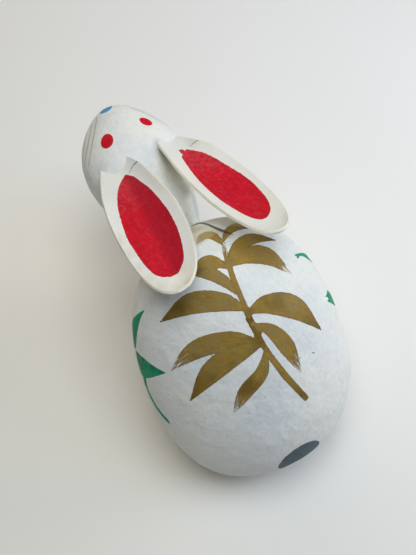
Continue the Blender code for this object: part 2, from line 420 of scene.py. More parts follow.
# Painted shade in the crevice along the ear that stands over the neck
CREVICE_SHADE = (
    (((157, 141.5), (160.5, 148), (166, 158), (173, 168), (181, 177)),
     (2.8, 4, 3.6, 3.6, 2)),
)
SCUFFS = (
    (((224.5, 243.2), (230.5, 240.6)), (0.5, 0.3)), (((227, 246), (234, 242.4)), (0.5, 0.3)),
    (((231, 247), (237.5, 243.2)), (0.4, 0.3)), (((235, 248), (241.5, 243.4)), (0.5, 0.3)),
    (((239, 247), (245, 242)), (0.4, 0.3)), (((243, 245), (247.5, 239.6)), (0.4, 0.3)),
)
# Beige painted shade, with dust, on the shoulder behind the neck below the right ear
SHOULDER_SHADE_AND_DUST_PATCHES = ((
    (195, 223.5), (200, 221), (206, 218), (214, 215), (226, 213.5), (240, 216),
    (250, 222), (246, 227), (236, 226), (228, 226.5), (216, 224), (206, 222),
), (
    (189, 229), (196, 226), (205, 226), (213, 229), (215, 233), (207, 240),
    (200, 246), (196, 246), (193, 238),
))
print(len(WHISKERS), "whiskers on a cheek and", len(SCUFFS), "dry scuffs")

# %% The strokes of the gold spray
# As above, and whether the brush ran dry at the stroke's end
GOLD = (
    (((306, 398), (284, 374), (264, 346), (249, 318)), (4, 4.6, 3.6, 4.6), 0),
    (((248, 314), (238, 290), (229, 266), (222, 240)), (4.2, 3.4, 3.6, 2.4), 1),
    (((262, 345), (240, 352), (212, 372), (190, 401)), (1.6, 12.5, 14, 0.6), 0),
    (((260, 341), (230, 340), (196, 350), (170, 371)), (1.4, 11, 12, 0.6), 1),
    (((266, 348), (262, 372), (246, 392), (233, 414)), (1.2, 9, 10, 0.6), 1),
    (((247, 313), (268, 304), (296, 308), (322, 330)), (1.6, 12, 15, 0.8), 0),
    (((253, 324), (272, 331), (288, 348), (302, 374)), (1.4, 8.5, 11, 0.6), 1),
    (((246, 310), (222, 302), (190, 304), (160, 322)), (1.6, 11.5, 13, 0.6), 0),
    (((240, 296), (224, 281), (206, 273), (184, 274)), (1.2, 7, 7.5, 0.6), 0),
    (((229, 266), (246, 256), (268, 256), (292, 274)), (1.6, 10.5, 13, 0.6), 1),
    (((228, 262), (238, 246), (254, 238), (276, 240)), (1.2, 7.5, 8.5, 0.6), 0),
    (((227, 268), (214, 262), (204, 264), (194, 276)), (1.2, 8, 9, 0.6), 0),
    (((222, 244), (213, 236), (204, 236), (196.5, 245)), (1.2, 6.5, 7.5, 0.6), 1),
    (((222.5, 242), (229, 231), (239, 226), (252, 228)), (1.2, 6, 8, 0.8), 0),
)
print(len(GOLD), "strokes of gold")

# %% Finer faces where the marks are thin
def rows_of(mesh, what="co"):
    """A mesh's points, or its normals, as an array of rows."""
    flat = np.empty(len(mesh.vertices) * 3, dtype=np.float32)
    mesh.vertices.foreach_get(what, flat)
    return flat.reshape(-1, 3).astype(float)


def refine(mesh, lines, reach, cuts):
    """Split the faces near thin painted lines, so that the lines stay whole."""
    bm = bmesh.new()
    bm.from_mesh(mesh)
    middles = np.array([face.calc_center_median() for face in bm.faces])
    near = np.zeros(len(middles), dtype=bool)
    for line in lines:
        for place in line:
            near |= np.linalg.norm(middles - place, axis=1) < reach
    bm.faces.ensure_lookup_table()
    edges = {edge for i in np.flatnonzero(near) for edge in bm.faces[i].edges}
    bmesh.ops.subdivide_edges(bm, edges=list(edges), cuts=cuts, use_grid_fill=True)
    bmesh.ops.triangulate(bm, faces=[face for face in bm.faces if len(face.verts) > 4])
    bm.to_mesh(mesh)
    bm.free()


surface = BVHTree.FromObject(shell, bpy.context.evaluated_depsgraph_get())
whiskers = [trace(surface, pixels) for pixels, _ in WHISKERS]
# The far cheek has the same strokes, mirrored onto it
whiskers += [
    np.array([surface.find_nearest(Vector((-x, y, z)))[0] for x, y, z in line]) for line in whiskers
]
thin_lines = [trace(surface, pixels) for pixels, _ in SHOULDER_CRACK + SPECKS + SCUFFS]
refine(shell.data, whiskers + thin_lines, reach=3.0 * MM, cuts=2)
# The flank's shapes are found from outside it, looking straight in
WELL_OUTSIDE = 0.1
small_marks = [[spot(surface, *pixel) for pixel in marks] for marks in EYES + NOSE]
for side, outline in GREEN_SHAPES:
    beside = [Vector((side * WELL_OUTSIDE, y * MM, z * MM)) for y, z in outline]
    small_marks.append([surface.ray_cast(place, Vector((-side, 0.0, 0.0)))[0] for place in beside])
refine(shell.data, small_marks, reach=6.0 * MM, cuts=1)
shell_points = rows_of(shell.data)
shell_normals = rows_of(shell.data, "normal")
print("shell refined to", len(shell_points), "points")


# %% How far the shell's points lie from strokes, cracks, dabs and flat shapes
# A dab is one press of the brush, and reaches no further than this many times its length
DAB_REACH = 2.5


def store(mesh, name, values):
    """Keep one number for each point of a mesh, for its material to read."""
    attribute = mesh.attributes.get(name) or mesh.attributes.new(name, "FLOAT", "POINT")
    attribute.data.foreach_set("value", np.asarray(values, dtype=np.float32))


def strokes_field(lines, strokes):
    """Distance to the edge of the nearest of some strokes along lines on the shell."""
    return np.min([
        stroke_field(shell_points, shell_normals, line, widths)[0]
        for line, (_, widths) in zip(lines, strokes)
    ], axis=0)


def cracks_field(strokes):
    """Distance to the nearest of some strokes whose widths are pixels of the photograph."""
    pixels, span = seen_at(shell_points)
    flat = np.column_stack([pixels, np.zeros(len(pixels))]) * MM
    nearest = np.full(len(shell_points), CLEAR_OF_PAINT)
    for places, widths in strokes:
        line = np.array([(x, y, 0.0) for x, y in smooth_line(places, STROKE_STEPS)]) * MM
        nearest = np.minimum(nearest, stroke_field(flat, shell_normals, line, widths)[0] * span)
    return np.where(shell_normals @ np.array(toward_lens) > 0.0, nearest, CLEAR_OF_PAINT)


def dabs_field(ovals):
    """Distance to the edge of the nearest of some ovals, each pressed on with one dab."""
    nearest = np.full(len(shell_points), FAR_OFF)
    for pixels in ovals:
        middle, end, side = (np.array(spot(surface, *pixel)) for pixel in pixels)
        off = shell_points - middle
        plane = np.linalg.pinv(np.stack([end - middle, side - middle], axis=1))
        reach = np.linalg.norm(off @ plane.T, axis=1)
        size = np.linalg.norm(side - middle) / MM
        near = np.linalg.norm(off, axis=1) < DAB_REACH * np.linalg.norm(end - middle)
        nearest = np.minimum(nearest, np.where(near, (reach - 1.0) * size, FAR_OFF))
    return nearest


def flank_field(shapes):
    """Distance to the nearest of some shapes that lie on the flanks, as seen from the side."""
    nearest = np.full(len(shell_points), CLEAR_OF_PAINT)
    for side, outline in shapes:
        field = outline_field(shell_points[:, 1:] / MM, outline)
        on_flank = shell_points[:, 0] * side > FLANK_FROM
        nearest = np.where(on_flank, np.minimum(nearest, field), nearest)
    return nearest


print("a dab reaches", DAB_REACH, "times its length at most")

# %% The distance to each mark, kept for every point of the shell
stalk = strokes_field([trace(surface, pixels) for pixels, _ in GREEN_STALK], GREEN_STALK)
store(shell.data, "green", np.minimum(flank_field(GREEN_SHAPES), stalk))
store(shell.data, "crack", cracks_field(SHOULDER_CRACK))
store(shell.data, "whiskers", strokes_field(whiskers, WHISKERS * 2))
for name, ovals in (("eyes", EYES), ("nose", NOSE)):
    store(shell.data, name, dabs_field(ovals))
store(shell.data, "shoulder_shade_and_dust", outlines_field(shell_points, shell_normals, SHOULDER_SHADE_AND_DUST_PATCHES))
from_tail = np.linalg.norm(shell_points - np.array(TAIL_MIDDLE), axis=1)
store(shell.data, "tail", (from_tail - TAIL_RADIUS) / MM)
# How far each point turns down, for the painted shade on the underside
store(shell.data, "turned_down", -shell_normals[:, 2])
for name, strokes in (
    ("specks", SPECKS), ("painted_shade_and_grime", PAINTED_SHADE_AND_GRIME), ("neck_painted_shade", NECK_PAINTED_SHADE), ("crevice_shade", CREVICE_SHADE), ("scuffs", SCUFFS),
):
    lines = [trace(surface, pixels) for pixels, _ in strokes]
    store(shell.data, name, strokes_field(lines, strokes))
print("marks kept:", ", ".join(mark.name for mark in shell.data.attributes if mark.data_type == "FLOAT"))

# %% The gold strokes also remember their grain
GOLD_STEPS = 40
GRAIN_APART = 170.0
# Streaks follow the bristles, so each point keeps its place along and across its stroke
gold = {name: np.zeros(len(shell_points)) for name in ("along", "across", "dry", "pool", "coats")}
gold_edge = np.full(len(shell_points), FAR_OFF)
for order, (pixels, widths, dries) in enumerate(GOLD):
    spine = trace(surface, pixels, GOLD_STEPS)
    edge, along, across, length = stroke_field(shell_points, shell_normals, spine, widths)
    on_top = (edge < 0.0) | (edge < gold_edge)
    spent = np.clip(along / length, 0.0, 1.0)
    gold["along"] = np.where(on_top, along + GRAIN_APART * order, gold["along"])
    gold["across"] = np.where(on_top, across, gold["across"])
    gold["dry"] = np.where(on_top, spent * dries, gold["dry"])
    gold["pool"] = np.where(on_top, spent * (1 - dries), gold["pool"])
    gold["coats"] += np.clip(-edge, 0.0, 1.0)
    gold_edge = np.minimum(gold_edge, edge)
store(shell.data, "gold", gold_edge)
for name, values in gold.items():
    store(shell.data, "gold_" + name, values)
print("gold covers", round(float((gold_edge < 0).mean()) * 100, 1), "% of the points")

# %% [markdown]
# The skin of the shell is chalk and hide glue, brushed on and rubbed down. It is matt, white
# with a breath of blue, lumpy and streaked by the brush, and flecked with dust. On top lie
# the paints: each one covers what is below it where its stored distance is under zero.

# %% Colours of the paints
CHALK = "e8eae9"
CHALK_COOL = "dce1e4"
CHALK_WARM = "ebebe6"
STREAK_SHADE = "bfc4c6"
LUMP_SHADE = "c3c8ca"
GRAIN_SHADE = "c4c8c9"
FLECK = "7d7a72"
KRAFT = "a58f6c"
# Olive for the painted shade and grime on the nape, and for the scuffs
OLIVE_SHADE_AND_SCUFF = "7f7450"
# Grey for the painted shade on the neck
NECK_SHADE_GREY = "8d8f8c"
# Brown for the painted shade in the crevice under the ear
CREVICE_SHADE_BROWN = "5d513a"
# Beige for the painted shade and dust on the shoulder
SHOULDER_SHADE_AND_DUST = "bdb08a"
# Painted shade for the underside
UNDERSIDE_SHADE = "968e76"
GOLD_LIGHT = "a3833a"
GOLD_OCHRE = "92742f"
GOLD_GREY = "877a55"
GOLD_DARK = "5a4310"
SIGNAL_RED = "d60f2a"
SIGNAL_RED_DARK = "be0b26"
SCUFFED_RED = "d06a70"
CRIMSON = "9a0825"
LEAF_GREEN = "039b70"
LEAF_GREEN_THIN = "0a765c"
NOSE_BLUE = "4f9bd2"
SLATE = "55646f"
SLATE_THIN = "6c7984"
WHISKER_GREY = "7c858b"
CRACK_DARK = "453d2c"
print("chalk white is", [round(part, 2) for part in linear(CHALK)])


# %% One coat of paint over another
BRISTLE_SCALE = 420.0


def paint_over(tree, below, stored_edge, colour, ragged, soft, strength=1.0, gaps=0.0):
    """Cover a colour with a paint inside its stored edge, and give the result and the mask."""
    place = add(tree, COORDINATES).outputs["Object"]
    bristle = add(tree, NOISE, {
        "Vector": place, "Scale": BRISTLE_SCALE, "Detail": 3.0, "Roughness": 0.6,
    })
    shift = add(tree, MATH, (bristle, 2.0 * ragged, -ragged), operation="MULTIPLY_ADD")
    edge = add(tree, ATTRIBUTE, attribute_name=stored_edge).outputs["Fac"]
    edge = add(tree, MATH, (edge, shift))
    mask = add(tree, RANGE, {"Value": edge, "From Min": soft, "From Max": -soft, "To Max": strength})
    closed = add(tree, MATH, (1.0, gaps), operation="SUBTRACT")
    mask = add(tree, MATH, (mask, closed), operation="MULTIPLY")
    return add(tree, MIX, {0: mask, 6: below, 7: colour}, data_type="RGBA"), mask


def coats(tree, colour, steps):
    """Lay paints on. Each: its stored edge, colour, how ragged and soft in mm, and how dense."""
    for edge, paint, ragged, soft, strength in steps:
        colour, _ = paint_over(tree, colour, edge, paint, ragged, soft, strength)
    return colour


def washes(tree, colour, steps):
    """Mix thin washes into a colour. Each: the value that guides it, from, to, share, its colour."""
    for value, low, high, share, wash in steps:
        mask = add(tree, RANGE, {"Value": value, "From Min": low, "From Max": high, "To Max": share})
        colour = add(tree, MIX, {0: mask, 6: colour, 7: wash}, data_type="RGBA")
    return colour


print("bristles leave marks about", round(1000 / BRISTLE_SCALE, 1), "mm apart")

# %% The chalk ground
BODY_LEAN = math.radians(40.3)


def chalk_coat(tree, place):
    """The white ground: cool and warm patches, brush streaks round the body, flecks of dust, and painted
    shade where it turns down.
    """
    stretch = add(tree, "ShaderNodeMapping", {
        "Vector": place, "Rotation": (BODY_LEAN, 0.0, 0.0), "Scale": (1.0, 1.0, 0.30),
    }, vector_type="TEXTURE")
    # A scale counts marks to a metre: patches of 38 mm, streaks of 8, lumps of 19, grain of 3
    patches, streaks, lumps, grain = (
        add(tree, NOISE, {"Vector": at, "Scale": scale, "Detail": detail, "Roughness": roughness})
        for at, scale, detail, roughness in (
            (place, 26.0, 5.0, 0.62), (stretch, 120.0, 5.0, 0.65),
            (place, 52.0, 3.0, 0.55), (place, 330.0, 4.0, 0.60),
        )
    )
    stops = ((0.34, CHALK_COOL), (0.66, CHALK_WARM), (0.50, CHALK))
    colour = add(tree, RAMP, (patches,), stops)
    turned_down = add(tree, ATTRIBUTE, attribute_name="turned_down").outputs["Fac"]
    colour = washes(tree, colour, (
        (streaks, 0.46, 0.68, 0.14, STREAK_SHADE),
        (lumps, 0.46, 0.70, 0.10, LUMP_SHADE),
        (grain, 0.50, 0.72, 0.20, GRAIN_SHADE),
        # Painted shade: darker where the shell turns down towards the table
        (turned_down, 0.18, 0.62, 0.40, UNDERSIDE_SHADE),
    ))
    dust = add(tree, "ShaderNodeTexVoronoi", {"Vector": place, "Scale": 95.0})
    dots = add(tree, RANGE, {"Value": dust.outputs["Distance"], "From Min": 0.07, "From Max": 0.035})
    few = add(tree, MATH, (dust.outputs["Color"], 0.965), operation="GREATER_THAN")
    fleck = add(tree, MATH, (dots, few), operation="MULTIPLY")
    colour = add(tree, MIX, {0: fleck, 6: colour, 7: FLECK}, data_type="RGBA")
    relief = add(tree, MATH, (lumps, 5.0, grain), operation="MULTIPLY_ADD")
    relief = add(tree, MATH, (streaks, 0.40, relief), operation="MULTIPLY_ADD")
    return colour, relief


print("the ground was brushed at", round(math.degrees(BODY_LEAN)), "degrees to the table")

# %% The gold, and the red
# Streaks to a millimetre across the gold brush
GOLD_BRISTLES = 2.6


def gold_paint(tree, place):
    """Thin gold poster paint: ochre, streaked grey where it ran thin, brown where it pooled."""
    along, across, coats, pool, dry, edge = (
        add(tree, ATTRIBUTE, attribute_name=name).outputs["Fac"] for name in (
            "gold_along", "gold_across", "gold_coats", "gold_pool", "gold_dry", "gold",
        )
    )
    slow = add(tree, MATH, (along, 0.05), operation="MULTIPLY")
    grain = add(tree, "ShaderNodeCombineXYZ", (slow, across))
    streaks, bristles, mottle, thin, thick = (
        add(tree, NOISE, {"Vector": at, "Scale": scale, "Detail": detail, "Roughness": roughness})
        for at, scale, detail, roughness in (
            (grain, 0.9, 4.0, 0.7), (grain, GOLD_BRISTLES, 2.0, 0.5),
            (place, 300.0, 3.0, 0.6), (place, 60.0, 2.0, 0.5), (place, 38.0, 2.0, 0.5),
        )
    )
    fibre = add(tree, MATH, (mottle, 0.40, streaks), operation="MULTIPLY_ADD")
    stops = ((0.55, GOLD_GREY), (0.84, GOLD_LIGHT), (0.69, GOLD_OCHRE))
    colour = washes(tree, add(tree, RAMP, (fibre,), stops), (
        (thin, 0.48, 0.72, 0.35, GOLD_GREY),
        (thick, 0.50, 0.66, 0.55, GOLD_DARK),
        (coats, 1.1, 1.9, 0.30, GOLD_DARK),
        (pool, 0.55, 1.0, 0.75, GOLD_DARK),
        (edge, -0.7, -0.05, 0.45, GOLD_DARK),
    ))
    spent = add(tree, RANGE, {"Value": dry, "From Min": 0.50, "To Max": 0.46})
    bare = add(tree, MATH, (bristles, spent))
    return colour, add(tree, RANGE, {"Value": bare, "From Min": 0.84, "From Max": 0.90})


def red_paint(tree, place, scale):
    """Opaque red, softly mottled where the brush went over it twice."""
    marks = add(tree, NOISE, {"Vector": place, "Scale": scale, "Detail": 4.0, "Roughness": 0.6})
    return add(tree, RAMP, (marks,), ((0.36, SIGNAL_RED_DARK), (0.60, SIGNAL_RED)))


print("the gold brush leaves", GOLD_BRISTLES, "streaks to a mm")

# %% The shell's finish, coat by coat
MATT = {"Roughness": 0.62, "IOR": 1.45, "Specular IOR Level": 0.22}


def new_material(name):
    """A material that uses nodes, with its tree and its shader."""
    material = bpy.data.materials.new(name)
    material.use_nodes = True
    return material, material.node_tree, material.node_tree.nodes["Principled BSDF"]


def matt_surface(tree, shader, colour, relief, strength, depth):
    """Give a shader its colour and its relief, as deep as the real one, and make it matt."""
    bump = add(tree, "ShaderNodeBump", {"Height": relief, "Strength": strength, "Distance": depth})
    tree.links.new(colour.outputs[2], shader.inputs["Base Color"])
    tree.links.new(bump.outputs[0], shader.inputs["Normal"])
    for name, value in MATT.items():
        shader.inputs[name].default_value = value


def shell_material():
    """Chalk and hide glue over paper, brushed on, with poster paint on top: matt all over."""
    material, tree, shader = new_material("chalk_coated_paper")
    place = add(tree, COORDINATES).outputs["Object"]
    colour, relief = chalk_coat(tree, place)
    gold_colour, bare = gold_paint(tree, place)
    thin = add(tree, NOISE, {"Vector": place, "Scale": 180.0, "Detail": 3.0, "Roughness": 0.6})
    green = add(tree, RAMP, (thin,), ((0.38, LEAF_GREEN_THIN), (0.56, LEAF_GREEN)))
    slate = add(tree, RAMP, (thin,), ((0.55, SLATE), (0.75, SLATE_THIN)))
    colour, gold_mask = paint_over(tree, colour, "gold", gold_colour, 0.40, 0.10, gaps=bare)
    colour = coats(tree, colour, (
        ("green", green, 0.25, 0.12, 1.0),
        ("eyes", red_paint(tree, place, 240.0), 0.2, 0.12, 1.0),
        ("nose", NOSE_BLUE, 0.3, 0.12, 1.0),
        ("tail", slate, 0.6, 0.12, 1.0),
        ("whiskers", WHISKER_GREY, 0.2, 0.45, 0.50),
        # Painted shade, with some grime, on the nape and at the neck's foot
        ("painted_shade_and_grime", OLIVE_SHADE_AND_SCUFF, 1.0, 3.2, 0.62),
        # Painted shade on the neck
        ("neck_painted_shade", NECK_SHADE_GREY, 1.0, 4.5, 0.40),
        # Painted shade in the crevice under the ear
        ("crevice_shade", CREVICE_SHADE_BROWN, 0.8, 3.0, 0.42),
        # Painted shade and dust on the shoulder
        ("shoulder_shade_and_dust", SHOULDER_SHADE_AND_DUST, 1.2, 0.9, 0.46),
        ("crack", CRACK_DARK, 0.25, 0.25, 0.9),
        ("scuffs", OLIVE_SHADE_AND_SCUFF, 0.5, 0.3, 0.70),
        ("specks", CRACK_DARK, 0.3, 0.2, 0.8),
    ))
    height = add(tree, "ShaderNodeSeparateXYZ", (place,)).outputs["Z"]
    colour = washes(tree, colour, ((height, 0.9 * MM, 0.6 * MM, 1.0, KRAFT),))
    relief = add(tree, MATH, (gold_mask, 0.5, relief), operation="MULTIPLY_ADD")
    matt_surface(tree, shader, colour, relief, 0.60, 0.7 * MM)
    return material


shell.data.materials.append(shell_material())
shell.data.shade_smooth()
print("the shell's finish has", len(shell.data.materials[0].node_tree.nodes), "nodes")

# %% [markdown]
# The ears are card in three finishes: cream ground on their backs, a handled, yellowed cut edge,
# and hollows with a leaf of red. The red's edge is worked out from two values that the tree
# below stores: how far along the ear a point lies, and how far across.

# %% Cream card, its cut edge, and card with the red leaf
EAR_CREAM = "ebece5"
EAR_CREAM_COOL = "e8eae7"
CARD_GRAIN = "cbc8be"
CUT_EDGE = "e3dcc6"
SMUDGE = "b9ae92"
# Cool grey for the painted shade on the ear's inner wall
FOLD_PAINTED_SHADE = "dbdee5"
# Along the ear the red's noise moves by this many metres from root to tip, so it looks drawn out
RED_STREAK_PACE = 0.030


def cream_coat(tree, place):
    """The ears' ground: warmer than the body's, with fine grain and faint patches."""
    patches = add(tree, NOISE, {"Vector": place, "Scale": 40.0, "Detail": 4.0, "Roughness": 0.6})
    grain = add(tree, NOISE, {"Vector": place, "Scale": 360.0, "Detail": 3.0, "Roughness": 0.6})
    colour = add(tree, RAMP, (patches,), ((0.36, EAR_CREAM_COOL), (0.60, EAR_CREAM)))
    colour = washes(tree, colour, ((grain, 0.52, 0.72, 0.16, CARD_GRAIN),))
    return colour, add(tree, MATH, (patches, 2.0, grain), operation="MULTIPLY_ADD")


def red_leaf(tree, place, colour):
    """The ear's hollow: its papered joint, painted shade in the fold, smudges, the red leaf and a crack."""
    share, across, shade = (
        add(tree, ATTRIBUTE, attribute_name=name).outputs["Fac"]
        for name in ("ear_share", "ear_across", "red_shade")
    )
    # The brush ran along the ear, so the red's marks are long that way and narrow across it
    slow = add(tree, MATH, (share, RED_STREAK_PACE), operation="MULTIPLY")
    brushed = add(tree, "ShaderNodeCombineXYZ", (slow, across))
    colour = coats(tree, colour, (
        # The fold coat is painted shade on the inner wall of the ear
        ("papered", CHALK, 1.6, 0.6, 1.0), ("fold", FOLD_PAINTED_SHADE, 0.8, 2.4, 0.55),
        ("smudge", SMUDGE, 1.5, 3.0, 0.30),
    ))
    scuffs = add(tree, NOISE, {"Vector": place, "Scale": 330.0, "Detail": 5.0, "Roughness": 0.7})
    near_root = add(tree, RANGE, {"Value": share, "From Min": 0.42, "From Max": 0.12})
    worn = add(tree, MATH, (near_root, 0.20, scuffs), operation="MULTIPLY_ADD")
    patches = add(tree, NOISE, {"Vector": place, "Scale": 70.0, "Detail": 3.0, "Roughness": 0.6})
    red = washes(tree, red_paint(tree, brushed, 300.0), (
        (patches, 0.42, 0.66, 0.40, SIGNAL_RED_DARK),
        (worn, 0.52, 0.78, 0.30, SCUFFED_RED),
        (shade, 0.0, 1.0, 0.60, CRIMSON),
    ))
    return coats(tree, colour, (
        ("red_leaf", red, 0.5, 0.12, 1.0), ("ear_crack", CRACK_DARK, 0.3, 0.3, 1.0),
    ))


def ear_material(name, painted=False, cut_edge=False):
    """Card with the same chalk ground as the body, brushed on and matt."""
    material, tree, shader = new_material(name)
    place = add(tree, COORDINATES).outputs["Object"]
    colour, relief = cream_coat(tree, place)
    if cut_edge:
        handled = add(tree, NOISE, {"Vector": place, "Scale": 90.0, "Detail": 3.0, "Roughness": 0.6})
        colour = washes(tree, colour, ((handled, 0.25, 0.60, 0.9, CUT_EDGE),))
    if painted:
        colour = red_leaf(tree, place, colour)
    matt_surface(tree, shader, colour, relief, 0.45, 0.5 * MM)
    return material


hollow_material = ear_material("red_hollow_of_card", painted=True)
back_material = ear_material("cream_back_of_card")
edge_material = ear_material("cut_edge_of_card", cut_edge=True)
print("the ears' finishes:", hollow_material.name, back_material.name, edge_material.name)

# %% [markdown]
# The ears follow a rule. Each is the same leaf of card: narrow at its root, widest just before
# the middle, round at the tip, bent along its length like a gutter. A Geometry Nodes
# tree writes that rule once, with the sizes as named inputs, and each ear fills them in.

# %% The ear's rule, step by step
EAR_ROWS = 110
EAR_COLUMNS = 40
ROOT_INSIDE_HEAD = 0.05
HOLLOW_EVEN_FROM = 0.5
PRESSED_SHARE = 0.35
TWIST_SHARE = 0.45
TUCKED_SHARE = 0.52
TIP_WELD = 0.02 * MM
EAR_SIZES = (
    "Length", "Half Width", "Widest At", "Root Share", "Swell", "Tip Roundness", "Root Hollow",
    "Tip Hollow", "Arch", "Bend", "Tuck", "Roll", "Twist", "Side",
)
EAR_WAYS = ("Root", "Axis", "Level", "Up", "Pressed")
# Each step: its name, what it does, and to which numbers, ear sizes or earlier steps
EAR_STEPS = (
    # Half the width: a sine swell up to the widest place, then a rounded tip
    ("risen", "DIVIDE", "share", "Widest At"),
    ("rise angle", "MULTIPLY", "risen", math.pi / 2),
    ("rise sine", "SINE", "rise angle"),
    ("rise", "POWER", "rise sine", "Swell"),
    ("grown", "SUBTRACT", 1.0, "Root Share"),
    ("swell", "MULTIPLY_ADD", "rise", "grown", "Root Share"),
    ("past widest", "SUBTRACT", "share", "Widest At"),
    ("rest", "SUBTRACT", 1.0, "Widest At"),
    ("tip share", "DIVIDE", "past widest", "rest"),
    ("tip fall", "POWER", "tip share", "Tip Roundness"),
    ("tip left", "SUBTRACT", 1.0, "tip fall"),
    ("tip root", "DIVIDE", 1.0, "Tip Roundness"),
    ("tip", "POWER", "tip left", "tip root"),
    ("outline", "MULTIPLY", "swell", "tip"),
    ("half", "MULTIPLY", "outline", "Half Width"),
    ("across", "MULTIPLY", "half", "side"),
    # The gutter, deeper at the root, and the slow bow along the ear
    ("gutter", "MULTIPLY_ADD", "side", "side", -1.0),
    ("depth", "MULTIPLY", "gutter", "half"),
    ("left over", "SUBTRACT", 1.0, "share"),
    ("bow quarter", "MULTIPLY", "left over", "share"),
    ("bow", "MULTIPLY", "bow quarter", 4.0),
    ("arched", "MULTIPLY", "bow", "Arch"),
    ("outward", "MULTIPLY_ADD", "depth", "hollow", "arched"),
    # The inner edge is drawn in a little near the root, and the ear bows sideways
    ("tucked share", "DIVIDE", "share", TUCKED_SHARE),
    ("tuck angle", "MULTIPLY", "tucked share", math.pi),
    ("tuck sine", "SINE", "tuck angle"),
    ("inner", "MINIMUM", "side", 0.0),
    ("drawn", "MULTIPLY", "tuck sine", "inner"),
    ("drawn in", "MULTIPLY", "drawn", "drawn"),
    ("bent", "MULTIPLY_ADD", "bow", "Bend", "across"),
    ("wide", "MULTIPLY_ADD", "drawn in", "Tuck", "bent"),
    # The section rolls about the ear's axis, more at the root
    ("twist share", "DIVIDE", "share", TWIST_SHARE),
    ("twist left", "SUBTRACT", 1.0, "twist share"),
    ("curl", "POWER", "twist left", 2.0),
    ("roll", "MULTIPLY_ADD", "curl", "Twist", "Roll"),
    ("cosine", "COSINE", "roll"),
    ("sine", "SINE", "roll"),
    ("dropped", "MULTIPLY", "outward", "sine"),
    ("turned", "MULTIPLY", "wide", "cosine"),
    ("on level", "SUBTRACT", "turned", "dropped"),
    ("raised", "MULTIPLY", "outward", "cosine"),
    ("on up", "MULTIPLY_ADD", "wide", "sine", "raised"),
    # The root is pressed onto the head
    ("press share", "DIVIDE", "share", PRESSED_SHARE),
    ("press left", "SUBTRACT", 1.0, "press share"),
    ("pressing", "MAXIMUM", "press left", 0.0),
    ("press", "POWER", "pressing", 2.0),
    ("along", "MULTIPLY", "share", "Length"),
)
# These steps are kept between zero and one
CLAMPED = ("risen", "tip share", "tip left", "tucked share", "twist left")
print(len(EAR_STEPS), "steps bend the card")


# %% The rule as a Geometry Nodes tree
def ear_tree():
    """A sheet whose x runs across the ear and whose y runs from its root to its tip."""
    tree = bpy.data.node_groups.new("bent_leaf_of_card", "GeometryNodeTree")
    for names, kind in ((EAR_SIZES, "NodeSocketFloat"), (EAR_WAYS, "NodeSocketVector")):
        for name in names:
            tree.interface.new_socket(name, in_out="INPUT", socket_type=kind)
    tree.interface.new_socket("Geometry", in_out="OUTPUT", socket_type="NodeSocketGeometry")
    size = add(tree, "NodeGroupInput").outputs

    sheet = add(tree, "GeometryNodeMeshGrid", (2.0, 1.0 + ROOT_INSIDE_HEAD, EAR_COLUMNS, EAR_ROWS))
    place = add(tree, "ShaderNodeSeparateXYZ", (add(tree, "GeometryNodeInputPosition"),)).outputs
    share = add(tree, MATH, (place["Y"], 0.5 - ROOT_INSIDE_HEAD / 2), operation="ADD")
    side = add(tree, MATH, (place["X"], size["Side"]), operation="MULTIPLY")
    hollow = add(tree, "ShaderNodeMapRange", {
        "Value": share, "From Max": HOLLOW_EVEN_FROM,
        "To Min": size["Root Hollow"], "To Max": size["Tip Hollow"],
    })
    found = {**dict(size.items()), "share": share, "side": side, "hollow": hollow}
    for name, operation, *parts in EAR_STEPS:
        parts = [found.get(part, part) for part in parts]
        found[name] = add(tree, MATH, parts, operation=operation, use_clamp=name in CLAMPED)

    point = size["Root"]
    for way, step in (("Axis", "along"), ("Level", "on level"), ("Up", "on up"), ("Pressed", "press")):
        amount = add(tree, "ShaderNodeCombineXYZ", (found[step],) * 3)
        point = add(tree, "ShaderNodeVectorMath", (size[way], amount, point), operation="MULTIPLY_ADD")

    marked = sheet.outputs["Mesh"]
    for name, value in (("ear_share", share), ("ear_across", found["across"]), ("ear_side", side)):
        marked = add(tree, "GeometryNodeStoreNamedAttribute", {
            "Geometry": marked, "Name": name, "Value": value,
        }, data_type="FLOAT", domain="POINT")
    shaped = add(tree, "GeometryNodeSetPosition", {"Geometry": marked, "Position": point})
    closed = add(tree, "GeometryNodeMergeByDistance", {"Geometry": shaped, "Distance": TIP_WELD})
    plain = add(tree, "GeometryNodeRealizeInstances", (closed,))
    dressed = add(tree, "GeometryNodeSetMaterial", {"Geometry": plain, "Material": hollow_material})
    add(tree, "NodeGroupOutput", (dressed,))
    return tree


tree = ear_tree()
sockets = {item.name: item.identifier for item in tree.interface.items_tree if item.in_out == "INPUT"}
print("the rule has", len(tree.nodes), "nodes and", len(sockets), "named inputs")

# %% The sizes of each ear, and what is painted on it
SHARED_SIZES = {
    "Length": 126.3 * MM, "Widest At": 0.473, "Root Share": 0.436, "Swell": 0.785,
    "Tip Roundness": 2.27, "Root Hollow": 0.45, "Tip Hollow": 0.28,
}
